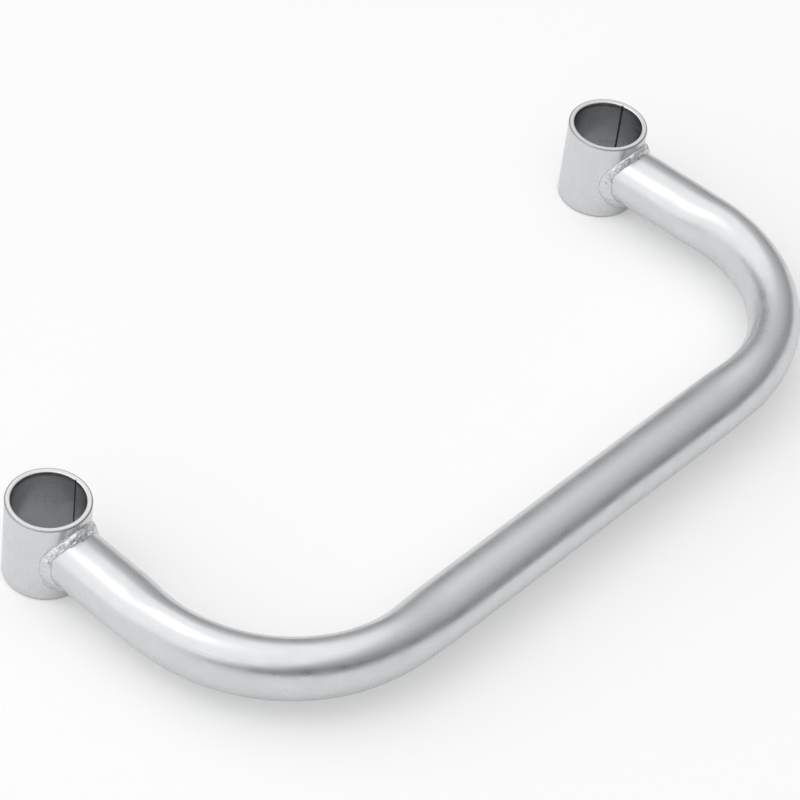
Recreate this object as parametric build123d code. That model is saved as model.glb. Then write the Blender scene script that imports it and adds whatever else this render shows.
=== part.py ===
from build123d import *
import math
import os

# Bridge pull handle: a bent steel tube whose two legs are coped and welded to short
# mounting sleeves. Millimetres, +Z along the sleeves' bores, +X along the grip. The origin
# is midway between the two sleeve axes, in the plane of the sleeves' lower faces.

# Overall
SLEEVE_SPACING = 293.0  # between the two sleeve axes
GRIP_OFFSET = 115.0  # from the line of sleeve axes to the grip's axis

# Mounting sleeves
SLEEVE_DIAMETER = 30.0
SLEEVE_WALL = 2.0
SLEEVE_HEIGHT = 34.0
OUTER_EDGE_ROUND = 0.5
BORE_CHAMFER = 0.3
SEAM_WIDTH = 0.6  # the tube mill's weld line, a shallow groove along each bore
SEAM_DEPTH = 0.2
SEAM_ANGLES = {"left_sleeve": 2.0, "right_sleeve": 15.0}  # degrees from +X

# Bent tube
TUBE_DIAMETER = 22.0
TUBE_WALL = 2.0
BEND_RADIUS = 61.0  # to the tube's axis
BEND_ANGLE = 92.0  # what is over 90 degrees is how far the legs toe in
BEND_FLATTENING = 0.125  # share of the tube's radius lost in the plane of the bend
BEND_SPREAD = 0.10  # share of the tube's radius gained square to that plane
GRIP_BLEND = 32.0  # length over which the round grip turns into the oval bend
LEG_BLEND = 20.0
BLEND_SECTIONS = 7

# Weld beads: each leg is the distance from the joint to the bead's edge on that piece
BEAD_SLEEVE_LEG = 3.0  # above and below the tube
BEAD_SLEEVE_SIDE_LEG = 1.4  # at the tube's two sides, where the surfaces fall apart
BEAD_TUBE_LEG = 2.4
BEAD_TUBE_SIDE_LEG = 4.2
BEAD_BULGE = 0.6  # height of the crown over a flat bead
BEAD_RIPPLE = 0.15  # how far a ripple's crest and dip lie above and below that height
BEAD_RIPPLES = 12
BEAD_ROOT_DEPTH = 1.2  # how far an outline reaches under the joined surfaces

# What follows from the sizes above
sleeve_radius = SLEEVE_DIAMETER / 2
bore_radius = sleeve_radius - SLEEVE_WALL
tube_radius = TUBE_DIAMETER / 2
tube_level = SLEEVE_HEIGHT / 2
bend_angle = math.radians(BEND_ANGLE)
bend_length = BEND_RADIUS * bend_angle
leg_length = (GRIP_OFFSET - BEND_RADIUS * (1 - math.cos(bend_angle))) / math.sin(bend_angle)
leg_direction = Vector(math.cos(bend_angle), math.sin(bend_angle), 0)
sleeve_axis_point = Vector(SLEEVE_SPACING / 2, 0, tube_level)
bend_end = sleeve_axis_point - leg_direction * leg_length
bend_centre = bend_end - Vector(math.sin(bend_angle), -math.cos(bend_angle), 0) * BEND_RADIUS


def smooth_step(x):
    x = min(max(x, 0.0), 1.0)
    return x * x * (3 - 2 * x)


def ovality(s):
    """How oval the tube is, 0 to 1, at s along its axis from where the grip ends."""
    into_bend = smooth_step(s / GRIP_BLEND + 0.5)
    out_of_bend = smooth_step((bend_length - s) / LEG_BLEND + 0.5)
    return into_bend * out_of_bend


def station(s):
    """The plane square to the right half of the tube at s, with local X pointing up."""
    turn = min(max(s, 0.0), bend_length) / BEND_RADIUS
    along = Vector(math.cos(turn), math.sin(turn), 0)
    outward = Vector(math.sin(turn), -math.cos(turn), 0)
    straight = s - turn * BEND_RADIUS
    origin = bend_centre + outward * BEND_RADIUS + along * straight
    return Plane(origin=origin, x_dir=(0, 0, 1), z_dir=along)


def section(s, inset):
    """The tube's outline at s, drawn in by inset."""
    upright = tube_radius * (1 + BEND_SPREAD * ovality(s)) - inset
    across = tube_radius * (1 - BEND_FLATTENING * ovality(s)) - inset
    return station(s) * Ellipse(upright, across)


def straight_run(start, end, inset):
    return extrude(section(start, inset), amount=end - start)


def blend(middle, length, inset):
    step = length / (BLEND_SECTIONS - 1)
    return loft([section(middle - length / 2 + step * i, inset) for i in range(BLEND_SECTIONS)])


def bar(inset):
    """The solid outline of the whole bent tube, drawn in by inset."""
    bend_start = GRIP_BLEND / 2
    bend_stop = bend_length - LEG_BLEND / 2
    bend_axis = Axis(bend_centre, (0, 0, 1))
    turn = math.degrees((bend_stop - bend_start) / BEND_RADIUS)
    half = straight_run(-bend_centre.X, -GRIP_BLEND / 2, inset)
    half += blend(0, GRIP_BLEND, inset)
    half += revolve(section(bend_start, inset), bend_axis, turn)
    half += blend(bend_length, LEG_BLEND, inset)
    half += straight_run(bend_length + LEG_BLEND / 2, bend_length + leg_length, inset)
    return half + mirror(half, Plane.YZ)


def sleeve_blank(x, radius):
    """A solid cylinder on a sleeve's axis."""
    blank = Cylinder(radius, SLEEVE_HEIGHT, align=(Align.CENTER, Align.CENTER, Align.MIN))
    return Pos(x, 0, 0) * blank


def sleeve(x, seam_angle):
    shell = sleeve_blank(0, sleeve_radius)
    shell = fillet(shell.edges().filter_by(GeomType.CIRCLE), OUTER_EDGE_ROUND)
    bore = sleeve_blank(0, bore_radius)
    shell -= bore
    bore_edges = shell.edges().filter_by(GeomType.CIRCLE).filter_by(
        lambda edge: abs(edge.radius - bore_radius) < 1e-6
    )
    shell = chamfer(bore_edges, BORE_CHAMFER)
    groove = Pos(bore_radius, 0, tube_level) * Box(2 * SEAM_DEPTH, SEAM_WIDTH, SLEEVE_HEIGHT)
    return Pos(x, 0, 0) * (shell - Rot(0, 0, seam_angle) * groove)


def joint_plane():
    """The right-hand joint: local Z runs from the sleeve's axis out along the leg, Y is up."""
    x_dir = leg_direction.cross(Vector(0, 0, 1))
    return Plane(origin=sleeve_axis_point, x_dir=x_dir, z_dir=-leg_direction)


def bead_section(index):
    """The bead's outline in the half plane through the leg's axis at this step round it.

    Its points are pairs: the distance from the leg's axis, and that from the sleeve's axis
    along the leg. The crown is an arc that runs on under both joined surfaces.
    """
    turn = math.pi * index / BEAD_RIPPLES
    side = math.cos(turn)
    sleeve_leg = BEAD_SLEEVE_LEG + (BEAD_SLEEVE_SIDE_LEG - BEAD_SLEEVE_LEG) * side**2
    tube_leg = BEAD_TUBE_LEG + (BEAD_TUBE_SIDE_LEG - BEAD_TUBE_LEG) * side**2
    bulge = BEAD_BULGE + BEAD_RIPPLE * (-1) ** index

    def on_sleeve(radius):
        return Vector(radius, math.sqrt(sleeve_radius**2 - (radius * side) ** 2))

    root = on_sleeve(tube_radius)
    fall = tube_radius * side**2 / root.Y
    sleeve_toe = on_sleeve(tube_radius + sleeve_leg / math.hypot(1, fall))
    tube_toe = root + Vector(0, tube_leg)
    half_chord = (sleeve_toe - tube_toe) / 2
    along = half_chord.normalized()
    outward = Vector(-along.Y, along.X)
    crown_turn = 2 * math.atan(bulge / half_chord.length)
    crown_radius = half_chord.length / math.sin(crown_turn)
    centre = tube_toe + half_chord - outward * crown_radius * math.cos(crown_turn)
    run_on = crown_turn + BEAD_ROOT_DEPTH / crown_radius

    def place(point):
        local = Vector(point.X * side, point.X * math.sin(turn), point.Y)
        return joint_plane().from_local_coords(local)

    def on_crown(angle):
        return place(centre + (outward * math.cos(angle) + along * math.sin(angle)) * crown_radius)

    inner_corner = place(root - Vector(1, 1) * 2 * BEAD_ROOT_DEPTH)
    crown = ThreePointArc(on_crown(-run_on), on_crown(0), on_crown(run_on))
    return Wire([crown, Line(crown @ 1, inner_corner), Line(inner_corner, crown @ 0)])


def bead(tube_outline):
    """The fillet weld round the right-hand joint, cut to sit on the tube and the sleeve."""
    sections = [bead_section(index) for index in range(2 * BEAD_RIPPLES)]
    ring = Solid.make_loft(sections + sections[:1])
    return ring - tube_outline - sleeve_blank(SLEEVE_SPACING / 2, sleeve_radius)


def handle_tube(tube_outline):
    """The bent tube, hollow, with both ends coped to the sleeves' outer faces."""
    hollow = tube_outline - bar(TUBE_WALL)
    for x in (-SLEEVE_SPACING / 2, SLEEVE_SPACING / 2):
        hollow -= sleeve_blank(x, sleeve_radius)
    return hollow


tube_outline = bar(0)
right_weld = bead(tube_outline)
nodes = {
    "handle_tube": handle_tube(tube_outline),
    "left_sleeve": sleeve(-SLEEVE_SPACING / 2, SEAM_ANGLES["left_sleeve"]),
    "right_sleeve": sleeve(SLEEVE_SPACING / 2, SEAM_ANGLES["right_sleeve"]),
    "left_weld": mirror(right_weld, Plane.YZ),
    "right_weld": right_weld,
}

os.makedirs("parts", exist_ok=True)
for name, solid in nodes.items():
    export_step(solid, f"parts/{name}.step")
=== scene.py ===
import math

import bmesh
import bpy
from mathutils import Matrix, Vector, noise


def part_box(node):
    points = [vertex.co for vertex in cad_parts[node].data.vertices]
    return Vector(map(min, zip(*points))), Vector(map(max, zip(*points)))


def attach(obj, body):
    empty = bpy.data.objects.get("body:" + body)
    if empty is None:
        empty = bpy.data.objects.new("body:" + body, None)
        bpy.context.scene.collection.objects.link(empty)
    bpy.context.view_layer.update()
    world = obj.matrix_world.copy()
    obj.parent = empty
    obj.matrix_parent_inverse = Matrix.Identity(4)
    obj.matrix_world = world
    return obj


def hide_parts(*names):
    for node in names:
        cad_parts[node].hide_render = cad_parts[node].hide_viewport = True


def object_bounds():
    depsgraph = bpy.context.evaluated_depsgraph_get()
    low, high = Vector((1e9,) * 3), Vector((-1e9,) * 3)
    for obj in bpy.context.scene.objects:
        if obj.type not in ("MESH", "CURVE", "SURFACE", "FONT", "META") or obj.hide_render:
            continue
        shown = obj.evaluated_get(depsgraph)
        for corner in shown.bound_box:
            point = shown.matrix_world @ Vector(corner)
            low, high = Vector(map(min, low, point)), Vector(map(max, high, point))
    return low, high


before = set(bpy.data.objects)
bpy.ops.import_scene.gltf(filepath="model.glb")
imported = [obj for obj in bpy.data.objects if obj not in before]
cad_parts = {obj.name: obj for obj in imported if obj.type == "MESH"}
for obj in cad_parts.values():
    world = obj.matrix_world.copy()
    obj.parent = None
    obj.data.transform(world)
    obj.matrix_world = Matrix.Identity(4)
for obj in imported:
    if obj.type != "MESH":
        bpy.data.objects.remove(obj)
cad_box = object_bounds()

# Mounting sleeves. Two short lengths of 30 mm seam-welded steel tube, sawn square, deburred
# and bright zinc plated. The handle's ends are welded to their sides, and each bore keeps
# the shallow straight line that the tube mill left in it.
MM = 0.001
SLEEVE_WALL = 2.0 * MM
SLEEVE_EDGE = 0.5 * MM
BORE_CHAMFER = 0.3 * MM
EDGE_SUPPORT = 0.06 * MM
SLEEVE_WALL_RINGS = 16
SLEEVE_SEGMENTS = 168
MILL_SEAM_WIDTH = 0.6 * MM
MILL_SEAM_DEPTH = 0.2 * MM
MILL_SEAM_ANGLES = {"left_sleeve": 2.0, "right_sleeve": 15.0}
SLEEVE_COLOUR = (0.77, 0.775, 0.785, 1)
# The sawn face's colour is near white: a painted highlight on the upward face, lighter than its
# plating.
CUT_FACE_PAINTED_HIGHLIGHT_COLOUR = (0.95, 0.95, 0.95, 1)
# The rounded edge's colour is dark grey: a painted dark reflection along the rim.
EDGE_PAINTED_DARK_REFLECTION_COLOUR = (0.42, 0.425, 0.43, 1)
# The bore's colour is darker than the outer wall: painted shade inside the bore.
BORE_PAINTED_SHADE_COLOUR = (0.60, 0.605, 0.61, 1)
MILL_SEAM_COLOUR = (0.10, 0.10, 0.105, 1)
SEAM_STEPS = (-2.0, -1.35, -1.0, -0.8, 0.0, 0.8, 1.0, 1.35, 2.0)  # in half seam widths
SEAM_CLEARANCE = 2.2  # half seam widths each side that hold only those steps
SEAM_FOOT = 1.35
SEAM_SLOPE = 0.55
SLEEVE_WANDER = 0.025 * MM  # how far the wall strays inward from a true cylinder
WANDER_ALONG = 40
WANDER_SCALE = 2.5
ROUND_STEPS = 6
FILM_SCALE = 120.0
FILM_RANGE = (0.35, 0.7)
FILM_DULLING = (-0.04, 0.07)
FILM_TINT = (0.9, 0.91, 0.93)
LINE_RANGE = (0.3, 0.7)
LINE_DULLING = 0.035


def running_length(points):
    """The length along a closed chain of points at each of them."""
    lengths = [0.0]
    for here, there in zip(points, points[1:] + points[:1]):
        lengths.append(lengths[-1] + (there - here).length)
    return lengths


def skin(name, rings):
    """A closed mesh of rings of points, each joined to the next, mapped in metres."""
    count = len(rings[0])
    around = running_length(rings[0])
    along = running_length([ring[0] for ring in rings])
    faces, mapped = [], []
    for i in range(len(rings)):
        low = i * count
        high = (i + 1) % len(rings) * count
        for j in range(count):
            k = (j + 1) % count
            faces.append((low + j, low + k, high + k, high + j))
            for u, v in ((j, i), (j + 1, i), (j + 1, i + 1), (j, i + 1)):
                mapped += (around[u], along[v])
    mesh = bpy.data.meshes.new(name)
    mesh.from_pydata([point for ring in rings for point in ring], [], faces)
    mesh.uv_layers.new(name="surface").data.foreach_set("uv", mapped)
    mesh.polygons.foreach_set("use_smooth", [True] * len(faces))
    shape = bmesh.new()
    shape.from_mesh(mesh)
    bmesh.ops.recalc_face_normals(shape, faces=shape.faces)
    shape.to_mesh(mesh)
    shape.free()
    piece = bpy.data.objects.new(name, mesh)
    bpy.context.scene.collection.objects.link(piece)
    return piece


def add_node(tree, kind, inputs, **settings):
    """A shader node with its settings, its input values and its links."""
    made = tree.nodes.new(kind)
    for key, value in settings.items():
        setattr(made, key, value)
    for socket, value in inputs.items():
        if isinstance(value, bpy.types.NodeSocket):
            tree.links.new(value, made.inputs[socket])
        else:
            made.inputs[socket].default_value = value
    return made


def plated_steel(name, colour, roughness, streak, grain_size, relief):
    """Bright zinc on steel: fine drawn lines, a cloudy passivated film and a small grain.

    streak is the width and length of a drawn line, and relief how deep line and grain are.
    """
    material = bpy.data.materials.new(name)
    material.use_nodes = True
    tree = material.node_tree
    shader = tree.nodes["Principled BSDF"]
    shader.inputs["Metallic"].default_value = 1.0
    surface = add_node(tree, "ShaderNodeUVMap", {}, uv_map="surface").outputs[0]
    space = add_node(tree, "ShaderNodeTexCoord", {}).outputs["Object"]
    stretched = add_node(tree, "ShaderNodeMapping",
                         {"Vector": surface, "Scale": (1 / streak[0], 1 / streak[1], 1)})
    lines = add_node(tree, "ShaderNodeTexNoise",
                     {"Vector": stretched.outputs[0], "Scale": 1.0, "Detail": 4.0})
    film = add_node(tree, "ShaderNodeTexNoise", {"Vector": space, "Scale": FILM_SCALE, "Detail": 5.0})
    grain = add_node(tree, "ShaderNodeTexNoise",
                     {"Vector": space, "Scale": 1 / grain_size, "Detail": 3.0})
    dulled = add_node(tree, "ShaderNodeMapRange",
                      {"Value": film.outputs["Fac"], "From Min": FILM_RANGE[0],
                       "From Max": FILM_RANGE[1], "To Min": roughness + FILM_DULLING[0],
                       "To Max": roughness + FILM_DULLING[1]})
    drawn = add_node(tree, "ShaderNodeMapRange",
                     {"Value": lines.outputs["Fac"], "From Min": LINE_RANGE[0],
                      "From Max": LINE_RANGE[1], "To Min": -LINE_DULLING,
                      "To Max": LINE_DULLING})
    rough = add_node(tree, "ShaderNodeMath",
                     {0: dulled.outputs[0], 1: drawn.outputs[0]}, operation="ADD")
    dull_colour = [channel * share for channel, share in zip(colour, FILM_TINT)] + [1]
    tint = add_node(tree, "ShaderNodeMix",
                    {"Factor": film.outputs["Fac"], "A": colour, "B": dull_colour},
                    data_type="RGBA")
    tree.links.new(tint.outputs["Result"], shader.inputs["Base Color"])
    height = add_node(tree, "ShaderNodeMath",
                      {0: lines.outputs["Fac"], 1: grain.outputs["Fac"]}, operation="ADD")
    bump = add_node(tree, "ShaderNodeBump",
                    {"Height": height.outputs[0], "Strength": 1.0, "Distance": relief})
    tree.links.new(rough.outputs[0], shader.inputs["Roughness"])
    tree.links.new(bump.outputs[0], shader.inputs["Normal"])
    return material


WALL, EDGE, FACE, BORE, SEAM = range(5)  # the finishes round a sleeve's wall, in slot order


def sleeve_profile(radius, height):
    """The wall's outline once round, as (radius, height, finish)."""
    bore = radius - SLEEVE_WALL
    outline = []
    for i in range(SLEEVE_WALL_RINGS + 1):
        share = i / SLEEVE_WALL_RINGS
        outline.append((radius, SLEEVE_EDGE + (height - 2 * SLEEVE_EDGE) * share, WALL))
    half = []
    for i in range(1, ROUND_STEPS + 1):
        turn = math.pi / 2 * i / ROUND_STEPS
        half.append((radius - SLEEVE_EDGE * (1 - math.cos(turn)),
                     SLEEVE_EDGE * (1 - math.sin(turn)), FACE if i == ROUND_STEPS else EDGE))
    half.append((radius - SLEEVE_EDGE - EDGE_SUPPORT, 0, FACE))
    half.append((bore + BORE_CHAMFER + EDGE_SUPPORT, 0, FACE))
    half.append((bore + BORE_CHAMFER, 0, FACE))
    half.append((bore + BORE_CHAMFER - EDGE_SUPPORT, EDGE_SUPPORT, FACE))
    half.append((bore + EDGE_SUPPORT, BORE_CHAMFER - EDGE_SUPPORT, BORE))
    outline += [(r, height - z, finish) for r, z, finish in half]
    for i in range(SLEEVE_WALL_RINGS + 1):
        share = i / SLEEVE_WALL_RINGS
        depth = height - BORE_CHAMFER - (height - 2 * BORE_CHAMFER) * share
        outline.append((bore, depth, BORE))
    outline += [(r, z, finish) for r, z, finish in reversed(half)]
    return outline


def sleeve_piece(node_name, finishes):
    """One sleeve, with a finish for each part of its wall."""
    low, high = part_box(node_name)
    centre = (low + high) / 2
    radius = (high.x - low.x) / 2
    bore = radius - SLEEVE_WALL
    seam = math.radians(MILL_SEAM_ANGLES[node_name])
    half_seam = MILL_SEAM_WIDTH / 2 / bore
    angles = [math.tau * i / SLEEVE_SEGMENTS for i in range(SLEEVE_SEGMENTS)]
    angles = [a for a in angles
              if abs(math.remainder(a - seam, math.tau)) > SEAM_CLEARANCE * half_seam]
    angles = sorted(angles + [(seam + step * half_seam) % math.tau for step in SEAM_STEPS])
    rings, ring_finishes = [], []
    for r, z, finish in sleeve_profile(radius, high.z - low.z):
        ring = []
        for angle in angles:
            off = abs(math.remainder(angle - seam, math.tau)) / half_seam
            groove = min(max((SEAM_FOOT - off) / SEAM_SLOPE, 0), 1) if finish == BORE else 0
            spot = Vector((math.cos(angle), math.sin(angle), z * WANDER_ALONG)) * WANDER_SCALE
            wander = SLEEVE_WANDER * noise.noise(spot)
            reach = r + MILL_SEAM_DEPTH * groove - abs(wander)
            ring.append(Vector((centre.x + reach * math.cos(angle),
                                centre.y + reach * math.sin(angle), low.z + z)))
        rings.append(ring)
        ring_finishes.append(finish)
    piece = skin(node_name + "_wall", rings)
    for finish in finishes:
        piece.data.materials.append(finish)
    across = len(angles)
    for polygon in piece.data.polygons:
        ring = polygon.index // across
        sides = {ring_finishes[ring], ring_finishes[(ring + 1) % len(rings)]}
        polygon.material_index = EDGE if EDGE in sides else min(sides)
        column = polygon.index % across
        borders = (angles[column], angles[(column + 1) % across])
        if sides == {BORE} and all(
                abs(math.remainder(a - seam, math.tau)) < 1.05 * half_seam for a in borders):
            polygon.material_index = SEAM
    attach(piece, "root")
    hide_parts(node_name)
    return piece


sleeve_steel = plated_steel("bright_zinc_sleeve", SLEEVE_COLOUR, 0.27,
                            (0.4 * MM, 16 * MM), 0.5 * MM, 0.012 * MM)
# The sawn face is painted lighter than the plating, a painted highlight.
cut_face_painted_highlight = plated_steel("sawn_face_painted_highlight", CUT_FACE_PAINTED_HIGHLIGHT_COLOUR, 0.46,
                        (0.25 * MM, 5 * MM), 0.3 * MM, 0.012 * MM)
# The rounded edge is painted darker than the plating, a painted dark reflection.
edge_painted_reflection_steel = plated_steel("rounded_edge_painted_dark_reflection", EDGE_PAINTED_DARK_REFLECTION_COLOUR, 0.24,
                          (0.4 * MM, 4 * MM), 0.4 * MM, 0.010 * MM)
# The bore is painted darker than the outer wall, as painted shade.
bore_painted_shade_steel = plated_steel("bore_painted_shade", BORE_PAINTED_SHADE_COLOUR, 0.22,
                          (0.9 * MM, 40 * MM), 0.6 * MM, 0.070 * MM)
seam_steel = plated_steel("unplated_mill_seam", MILL_SEAM_COLOUR, 0.45,
                          (0.3 * MM, 6 * MM), 0.4 * MM, 0.020 * MM)
for sleeve_name in MILL_SEAM_ANGLES:
    sleeve_piece(sleeve_name, (sleeve_steel, edge_painted_reflection_steel, cut_face_painted_highlight, bore_painted_shade_steel, seam_steel))

# Bent tube. One length of 22 mm steel tube with a 2 mm wall, cold bent twice round a former,
# so that it is flatter and wider through each bend, with faint wrinkles on the inner side.
# Both ends are coped to fit round the sleeves. It is bright zinc plated after welding.
TUBE_RADIUS = 11.0 * MM
TUBE_WALL = 2.0 * MM
BEND_RADIUS = 61.0 * MM
BEND_TURN = math.radians(92)
BEND_FLATTENING = 0.125
BEND_SPREAD = 0.10
GRIP_BLEND = 32.0 * MM
LEG_BLEND = 20.0 * MM
TUBE_SIDES = 128
TUBE_RINGS = 190  # from the middle of the grip to an end
TUBE_INNER_RINGS = 48
WRINKLE = 0.07 * MM
WRINKLE_PITCH = 8.5 * MM
WAVINESS = 0.05 * MM
WAVE_ALONG = 34
WAVE_ROUND = 1.1
WRINKLE_SPREAD = 0.6  # radians round from the inner side
TUBE_COLOUR = (0.77, 0.78, 0.785, 1)

sleeve_low, sleeve_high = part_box("right_sleeve")
sleeve_radius = (sleeve_high.x - sleeve_low.x) / 2
sleeve_axis = (sleeve_low + sleeve_high) / 2
grip_offset = -(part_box("handle_tube")[0].y + TUBE_RADIUS)
bend_length = BEND_RADIUS * BEND_TURN
leg_length = (grip_offset - BEND_RADIUS * (1 - math.cos(BEND_TURN))) / math.sin(BEND_TURN)
leg_way = Vector((math.cos(BEND_TURN), math.sin(BEND_TURN), 0))
bend_end = sleeve_axis - leg_way * leg_length
bend_centre = bend_end - Vector((math.sin(BEND_TURN), -math.cos(BEND_TURN), 0)) * BEND_RADIUS
half_length = bend_centre.x + bend_length + leg_length

# each mark: place along the half, angle round from the outer side over the top, depth,
# length along the tube, and how far round it spreads
BENDER_MARKS = {
    -1: [(bend_centre.x + bend_length + 3 * MM, 178, 0.55 * MM, 4.5 * MM, 38),
         (bend_centre.x + bend_length - 9 * MM, 170, 0.22 * MM, 5.0 * MM, 30)],
    1: [(bend_centre.x + bend_length + 16 * MM, 146, 0.20 * MM, 4.0 * MM, 24),
        (bend_centre.x + bend_length + 2 * MM, 172, 0.16 * MM, 6.0 * MM, 34),
        (bend_centre.x + 24 * MM, 160, 0.10 * MM, 6.0 * MM, 22)],
}


def smooth_step(x):
    x = min(max(x, 0.0), 1.0)
    return x * x * (3 - 2 * x)


def ovality(past_grip):
    """How oval the tube is, 0 to 1, this far along from where the grip ends."""
    into_bend = smooth_step(past_grip / GRIP_BLEND + 0.5)
    out_of_bend = smooth_step((bend_length - past_grip) / LEG_BLEND + 0.5)
    return into_bend * out_of_bend


def dressed_depth(side, place, angle):
    """How far the surface lies inside the plain bent tube, from working and bending."""
    inner_side = math.exp(-(math.remainder(angle - math.pi, math.tau) / WRINKLE_SPREAD) ** 2)
    past_grip = place - bend_centre.x
    wave = noise.noise(Vector((side * place * WAVE_ALONG, math.cos(angle) * WAVE_ROUND,
                               math.sin(angle) * WAVE_ROUND)))
    depth = WAVINESS * (0.5 + 0.5 * wave)
    ripple = 0.5 + 0.5 * math.sin(math.tau * past_grip / WRINKLE_PITCH)
    depth += WRINKLE * ripple * inner_side * ovality(past_grip)
    for mark_place, mark_angle, mark_depth, length, spread in BENDER_MARKS[side]:
        off = (place - mark_place) / length
        round_off = math.remainder(angle - math.radians(mark_angle), math.tau)
        depth += mark_depth * math.exp(-off**2 - (round_off / math.radians(spread)) ** 2)
    return depth


def tube_point(side, share, angle, inset):
    """A point of the tube's surface, share of the way from the grip's middle to an end."""
    end_offset = (TUBE_RADIUS - inset) * math.cos(angle)
    place = share * (half_length - math.sqrt(sleeve_radius**2 - end_offset**2))
    past_grip = place - bend_centre.x
    turn = min(max(past_grip, 0.0), bend_length) / BEND_RADIUS
    along = Vector((math.cos(turn), math.sin(turn), 0))
    outward = Vector((math.sin(turn), -math.cos(turn), 0))
    origin = bend_centre + outward * BEND_RADIUS + along * (past_grip - turn * BEND_RADIUS)
    sunk = inset if inset else dressed_depth(side, place, angle)
    across = TUBE_RADIUS * (1 - BEND_FLATTENING * ovality(past_grip)) - sunk
    upright = TUBE_RADIUS * (1 + BEND_SPREAD * ovality(past_grip)) - sunk
    point = origin + outward * across * math.cos(angle) + Vector((0, 0, upright * math.sin(angle)))
    return Vector((side * point.x, point.y, point.z))


def tube_rings(ring_count, inset):
    """Rings from the left end to the right end."""
    rings = []
    for i in range(-ring_count, ring_count + 1):
        side = -1 if i < 0 else 1
        rings.append([tube_point(side, abs(i) / ring_count, math.tau * j / TUBE_SIDES, inset)
                      for j in range(TUBE_SIDES)])
    return rings


tube = skin("bent_tube", tube_rings(TUBE_RINGS, 0)
            + list(reversed(tube_rings(TUBE_INNER_RINGS, TUBE_WALL))))
tube.data.materials.append(plated_steel("bright_zinc_tube", TUBE_COLOUR, 0.29,
                                        (0.5 * MM, 45 * MM), 0.5 * MM, 0.010 * MM))
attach(tube, "root")
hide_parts("handle_tube")

# Weld beads. A hand-laid fillet of weld metal runs right round each joint between tube and
# sleeve. It is uneven: a broad smooth lobe low on the near side, and small bright lumps
# over the top. The zinc plating covers it.
BEAD_STEPS = 300
BEAD_CROWN = 16
BEAD_BULGE = 0.62 * MM
BEAD_SINK = 0.04 * MM
BEAD_RIPPLE = 0.06 * MM
BEAD_RIPPLES = 26
BEAD_LUMP = 0.44 * MM
BEAD_LUMP_SCALES = (520, 1150)
BEAD_FINE_SHARE = 0.7
BEAD_SMOOTH_SHARE = 0.12  # of the lumps' height that is left on the smooth lobe
BEAD_CROWN_POWER = 0.6
BEAD_ROOT = 0.3 * MM
BEAD_WIDTH_DRIFT = (0.10, 0.14)  # on the sleeve, on the tube
BEAD_COLOUR = (0.80, 0.805, 0.81, 1)
# degrees round the leg from +X over the top: (width on the sleeve, width on the tube) in mm
BEAD_WIDTHS = {
    "left_weld": {0: (1.4, 4.0), 60: (2.8, 2.4), 90: (3.0, 2.6), 120: (1.7, 2.3),
                  150: (1.4, 2.5), 180: (1.1, 4.3), 205: (2.0, 4.0), 225: (3.1, 3.4),
                  245: (3.3, 2.8), 275: (2.9, 2.4), 310: (2.2, 2.8)},
    "right_weld": {0: (1.4, 4.0), 60: (2.8, 2.2), 90: (2.8, 1.6), 120: (2.6, 1.4),
                   150: (2.0, 1.6), 180: (2.1, 3.3), 205: (2.6, 3.4), 230: (3.0, 3.0),
                   260: (3.0, 2.4), 310: (2.2, 2.8)},
}


def bead_widths(name, degrees):
    """Both widths at this angle, eased from one stated angle to the next."""
    stated = sorted(BEAD_WIDTHS[name].items())
    stated.append((360, stated[0][1]))
    for (start, before), (end, after) in zip(stated, stated[1:]):
        if start <= degrees <= end:
            share = smooth_step((degrees - start) / (end - start))
            return [(a + (b - a) * share) * MM for a, b in zip(before, after)]


def bead_reach(radius, turn):
    """How far along the leg the sleeve's face lies, at this radius and angle off the leg."""
    return math.sqrt(max(sleeve_radius**2 - (radius * math.cos(turn)) ** 2, 0))


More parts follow.
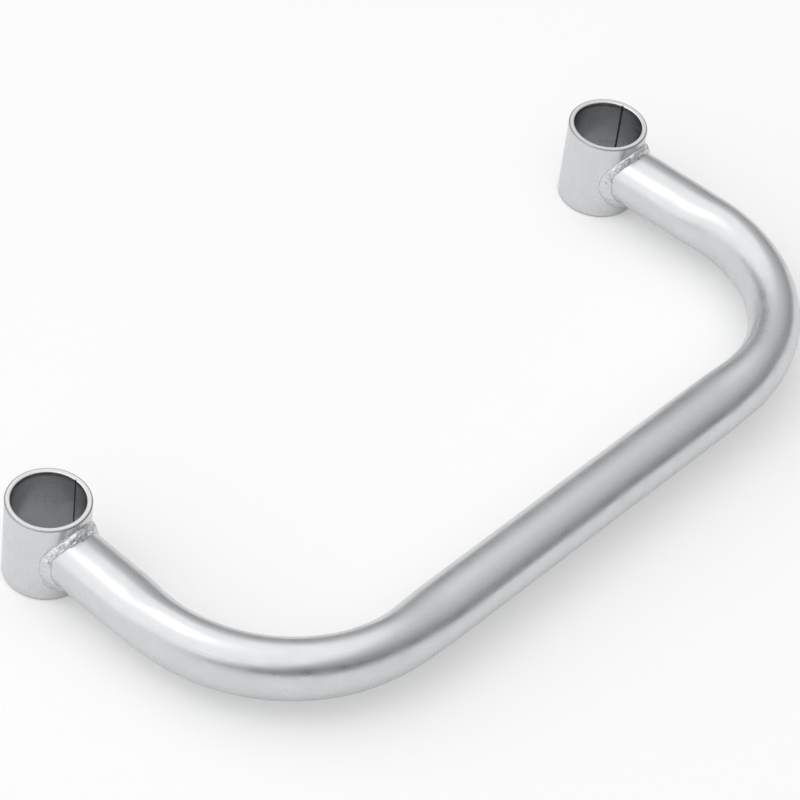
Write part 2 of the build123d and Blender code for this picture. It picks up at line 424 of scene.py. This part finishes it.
def bead_piece(name, side, material):
    """One bead, as a ring of sections round the leg."""
    axis = Vector((side * sleeve_axis.x, sleeve_axis.y, sleeve_axis.z))
    leg = Vector((-side * leg_way.x, -leg_way.y, 0))
    level = Vector((-leg.y, leg.x, 0))
    rings = []
    for i in range(BEAD_STEPS):
        turn = math.tau * i / BEAD_STEPS
        away = level * math.cos(turn) + Vector((0, 0, math.sin(turn)))
        on_sleeve, on_tube = bead_widths(name, math.degrees(turn))
        on_sleeve *= 1 + BEAD_WIDTH_DRIFT[0] * noise.noise(away * 4 + Vector((side * 7, 0, 0)))
        on_tube *= 1 + BEAD_WIDTH_DRIFT[1] * noise.noise(away * 5 + Vector((side * 9, 3, 0)))
        root = Vector((TUBE_RADIUS, bead_reach(TUBE_RADIUS, turn)))
        fall = TUBE_RADIUS * math.cos(turn) ** 2 / root.y
        toe_radius = TUBE_RADIUS + on_sleeve / math.hypot(1, fall)
        sleeve_toe = Vector((toe_radius, bead_reach(toe_radius, turn) - BEAD_SINK))
        tube_toe = Vector((TUBE_RADIUS - BEAD_SINK, root.y + on_tube))
        chord = (tube_toe - sleeve_toe).normalized()
        outward = Vector((-chord.y, chord.x))
        if outward.x < 0:
            outward = -outward
        lumpy = smooth_step((math.sin(turn) + 0.35) / 0.9)
        section = [root - Vector((BEAD_ROOT, BEAD_ROOT))]
        for j in range(BEAD_CROWN + 1):
            share = j / BEAD_CROWN
            rise = (4 * share * (1 - share)) ** BEAD_CROWN_POWER
            flat = sleeve_toe.lerp(tube_toe, share)
            spot = away * flat.x + leg * flat.y
            lumps = noise.noise(spot * BEAD_LUMP_SCALES[0] + Vector((side * 5, 0, 0)))
            lumps += BEAD_FINE_SHARE * noise.noise(spot * BEAD_LUMP_SCALES[1])
            beat = math.sin(BEAD_RIPPLES * turn + 2.2 * rise + 1.5 * noise.noise(away * 3))
            height = BEAD_BULGE * rise + BEAD_RIPPLE * beat * rise
            rough_share = BEAD_SMOOTH_SHARE + (1 - BEAD_SMOOTH_SHARE) * lumpy
            height += BEAD_LUMP * lumps * rough_share * rise
            section.append(flat + outward * height)
        rings.append([axis + away * point.x + leg * point.y for point in section])
    piece = skin(name + "_bead", rings)
    piece.data.materials.append(material)
    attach(piece, "root")
    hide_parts(name)
    return piece


bead_steel = plated_steel("plated_weld_metal", BEAD_COLOUR, 0.19,
                          (0.8 * MM, 1.2 * MM), 0.40 * MM, 0.16 * MM)
bead_piece("left_weld", -1, bead_steel)
bead_piece("right_weld", 1, bead_steel)

# Table top. A plain pale sheet that the part lies on, wide enough for every view.
FLOOR_SIZE = 8.0
FLOOR_COLOUR = (0.84, 0.84, 0.84, 1)
FLOOR_LIFT = 0.20
FLOOR_LIFT_IN_METAL = 0.08
FLOOR_GAP = 0.1 * MM


def floor_material():
    material = bpy.data.materials.new("pale_table")
    material.use_nodes = True
    tree = material.node_tree
    tree.nodes.remove(tree.nodes["Principled BSDF"])
    matt = add_node(tree, "ShaderNodeBsdfDiffuse", {"Color": FLOOR_COLOUR})
    path = add_node(tree, "ShaderNodeLightPath", {})
    seen = add_node(tree, "ShaderNodeMath", {0: path.outputs["Is Camera Ray"], 1: FLOOR_LIFT},
                    operation="MULTIPLY")
    lift = add_node(tree, "ShaderNodeMath",
                    {0: path.outputs["Is Glossy Ray"], 1: FLOOR_LIFT_IN_METAL,
                     2: seen.outputs[0]}, operation="MULTIPLY_ADD")
    glow = add_node(tree, "ShaderNodeEmission", {"Strength": lift.outputs[0]})
    both = add_node(tree, "ShaderNodeAddShader", {0: matt.outputs[0], 1: glow.outputs[0]})
    tree.links.new(both.outputs[0], tree.nodes["Material Output"].inputs["Surface"])
    return material


floor_mesh = bpy.data.meshes.new("table")
edge = FLOOR_SIZE / 2
floor_mesh.from_pydata([(-edge, -edge, 0), (edge, -edge, 0), (edge, edge, 0), (-edge, edge, 0)],
                       [], [(0, 1, 2, 3)])
floor = bpy.data.objects.new("table", floor_mesh)
floor.location.z = cad_box[0].z - FLOOR_GAP
floor_mesh.materials.append(floor_material())
bpy.context.scene.collection.objects.link(floor)

# Studio light. A pale room that is greyer near the level of the table, most of all on the
# open side, under one broad white ceiling panel that slopes down behind the left end. A soft
# box in the panel gives the shadow.
OPEN_SIDE = (-0.81, -0.58, 0.0)
ROOM_TOP = 0.86
ROOM_LEVEL = (0.44, 0.16)
PANEL_WAY = (-0.45, 0.25, 0.857)
PANEL_EDGE = (0.43, 0.60)  # cosines of the angles off that way where it starts and is full
PANEL_TONE = 1.38
ROOM_RISE = (0.12, 0.9)  # sine of the height where the tone starts to rise, and is full
BOX_PLACE = Vector((-0.60, 0.35, 1.15))
BOX_SIZE = 0.6
BOX_POWER = 1.0

world = bpy.data.worlds.new("studio")
bpy.context.scene.world = world
world.use_nodes = True
room = world.node_tree
room.nodes.remove(room.nodes["Background"])
way = add_node(room, "ShaderNodeTexCoord", {}).outputs["Generated"]
height_share = add_node(room, "ShaderNodeMapRange",
                        {"Value": add_node(room, "ShaderNodeSeparateXYZ", {0: way}).outputs["Z"],
                         "From Min": ROOM_RISE[0], "From Max": ROOM_RISE[1]},
                        interpolation_type="SMOOTHSTEP")
open_share = add_node(room, "ShaderNodeVectorMath", {0: way, 1: OPEN_SIDE},
                      operation="DOT_PRODUCT")
level_tone = add_node(room, "ShaderNodeMapRange",
                      {"Value": open_share.outputs["Value"], "From Min": -1.0, "From Max": 1.0,
                       "To Min": ROOM_LEVEL[0], "To Max": ROOM_LEVEL[1]})
tone = add_node(room, "ShaderNodeMix",
                {"Factor": height_share.outputs[0], "A": level_tone.outputs[0], "B": ROOM_TOP})
panel_off = add_node(room, "ShaderNodeVectorMath", {0: way, 1: PANEL_WAY},
                     operation="DOT_PRODUCT")
panel_share = add_node(room, "ShaderNodeMapRange",
                       {"Value": panel_off.outputs["Value"], "From Min": PANEL_EDGE[0],
                        "From Max": PANEL_EDGE[1]}, interpolation_type="SMOOTHSTEP")
lit = add_node(room, "ShaderNodeMix",
               {"Factor": panel_share.outputs[0], "A": tone.outputs["Result"], "B": PANEL_TONE})
studio = add_node(room, "ShaderNodeBackground", {"Strength": lit.outputs["Result"]})
white = add_node(room, "ShaderNodeBackground", {"Strength": 1.0})
seen_direct = add_node(room, "ShaderNodeLightPath", {})
shown = add_node(room, "ShaderNodeMixShader",
                 {0: seen_direct.outputs["Is Camera Ray"], 1: studio.outputs[0],
                  2: white.outputs[0]})
room.links.new(shown.outputs[0], room.nodes["World Output"].inputs["Surface"])

lamp = bpy.data.lights.new("soft_box", "AREA")
lamp.size = BOX_SIZE
lamp.energy = BOX_POWER
soft_box = bpy.data.objects.new("soft_box", lamp)
soft_box.location = BOX_PLACE
soft_box.rotation_euler = (-BOX_PLACE).to_track_quat("-Z", "Y").to_euler()
bpy.context.scene.collection.objects.link(soft_box)

# Camera. A long lens looks down on the part from beyond the near sleeve.
CAMERA_PLACE = Vector((-0.7940, -0.6305, 0.9820))
CAMERA_AIM = Vector((-0.0087, -0.0370, 0.0170))
CAMERA_ROLL = math.radians(7.823)
CAMERA_LENS = 174.37

camera = bpy.data.objects.new("camera", bpy.data.cameras.new("camera"))
camera.data.lens = CAMERA_LENS
camera.data.sensor_width = 36.0
camera.data.clip_end = 40.0
aimed = (CAMERA_AIM - CAMERA_PLACE).to_track_quat("-Z", "Y").to_matrix()
camera.matrix_world = (Matrix.Translation(CAMERA_PLACE)
                       @ (aimed @ Matrix.Rotation(CAMERA_ROLL, 3, "Z")).to_4x4())
bpy.context.scene.collection.objects.link(camera)
bpy.context.scene.camera = camera
bpy.context.scene.view_settings.view_transform = "Standard"
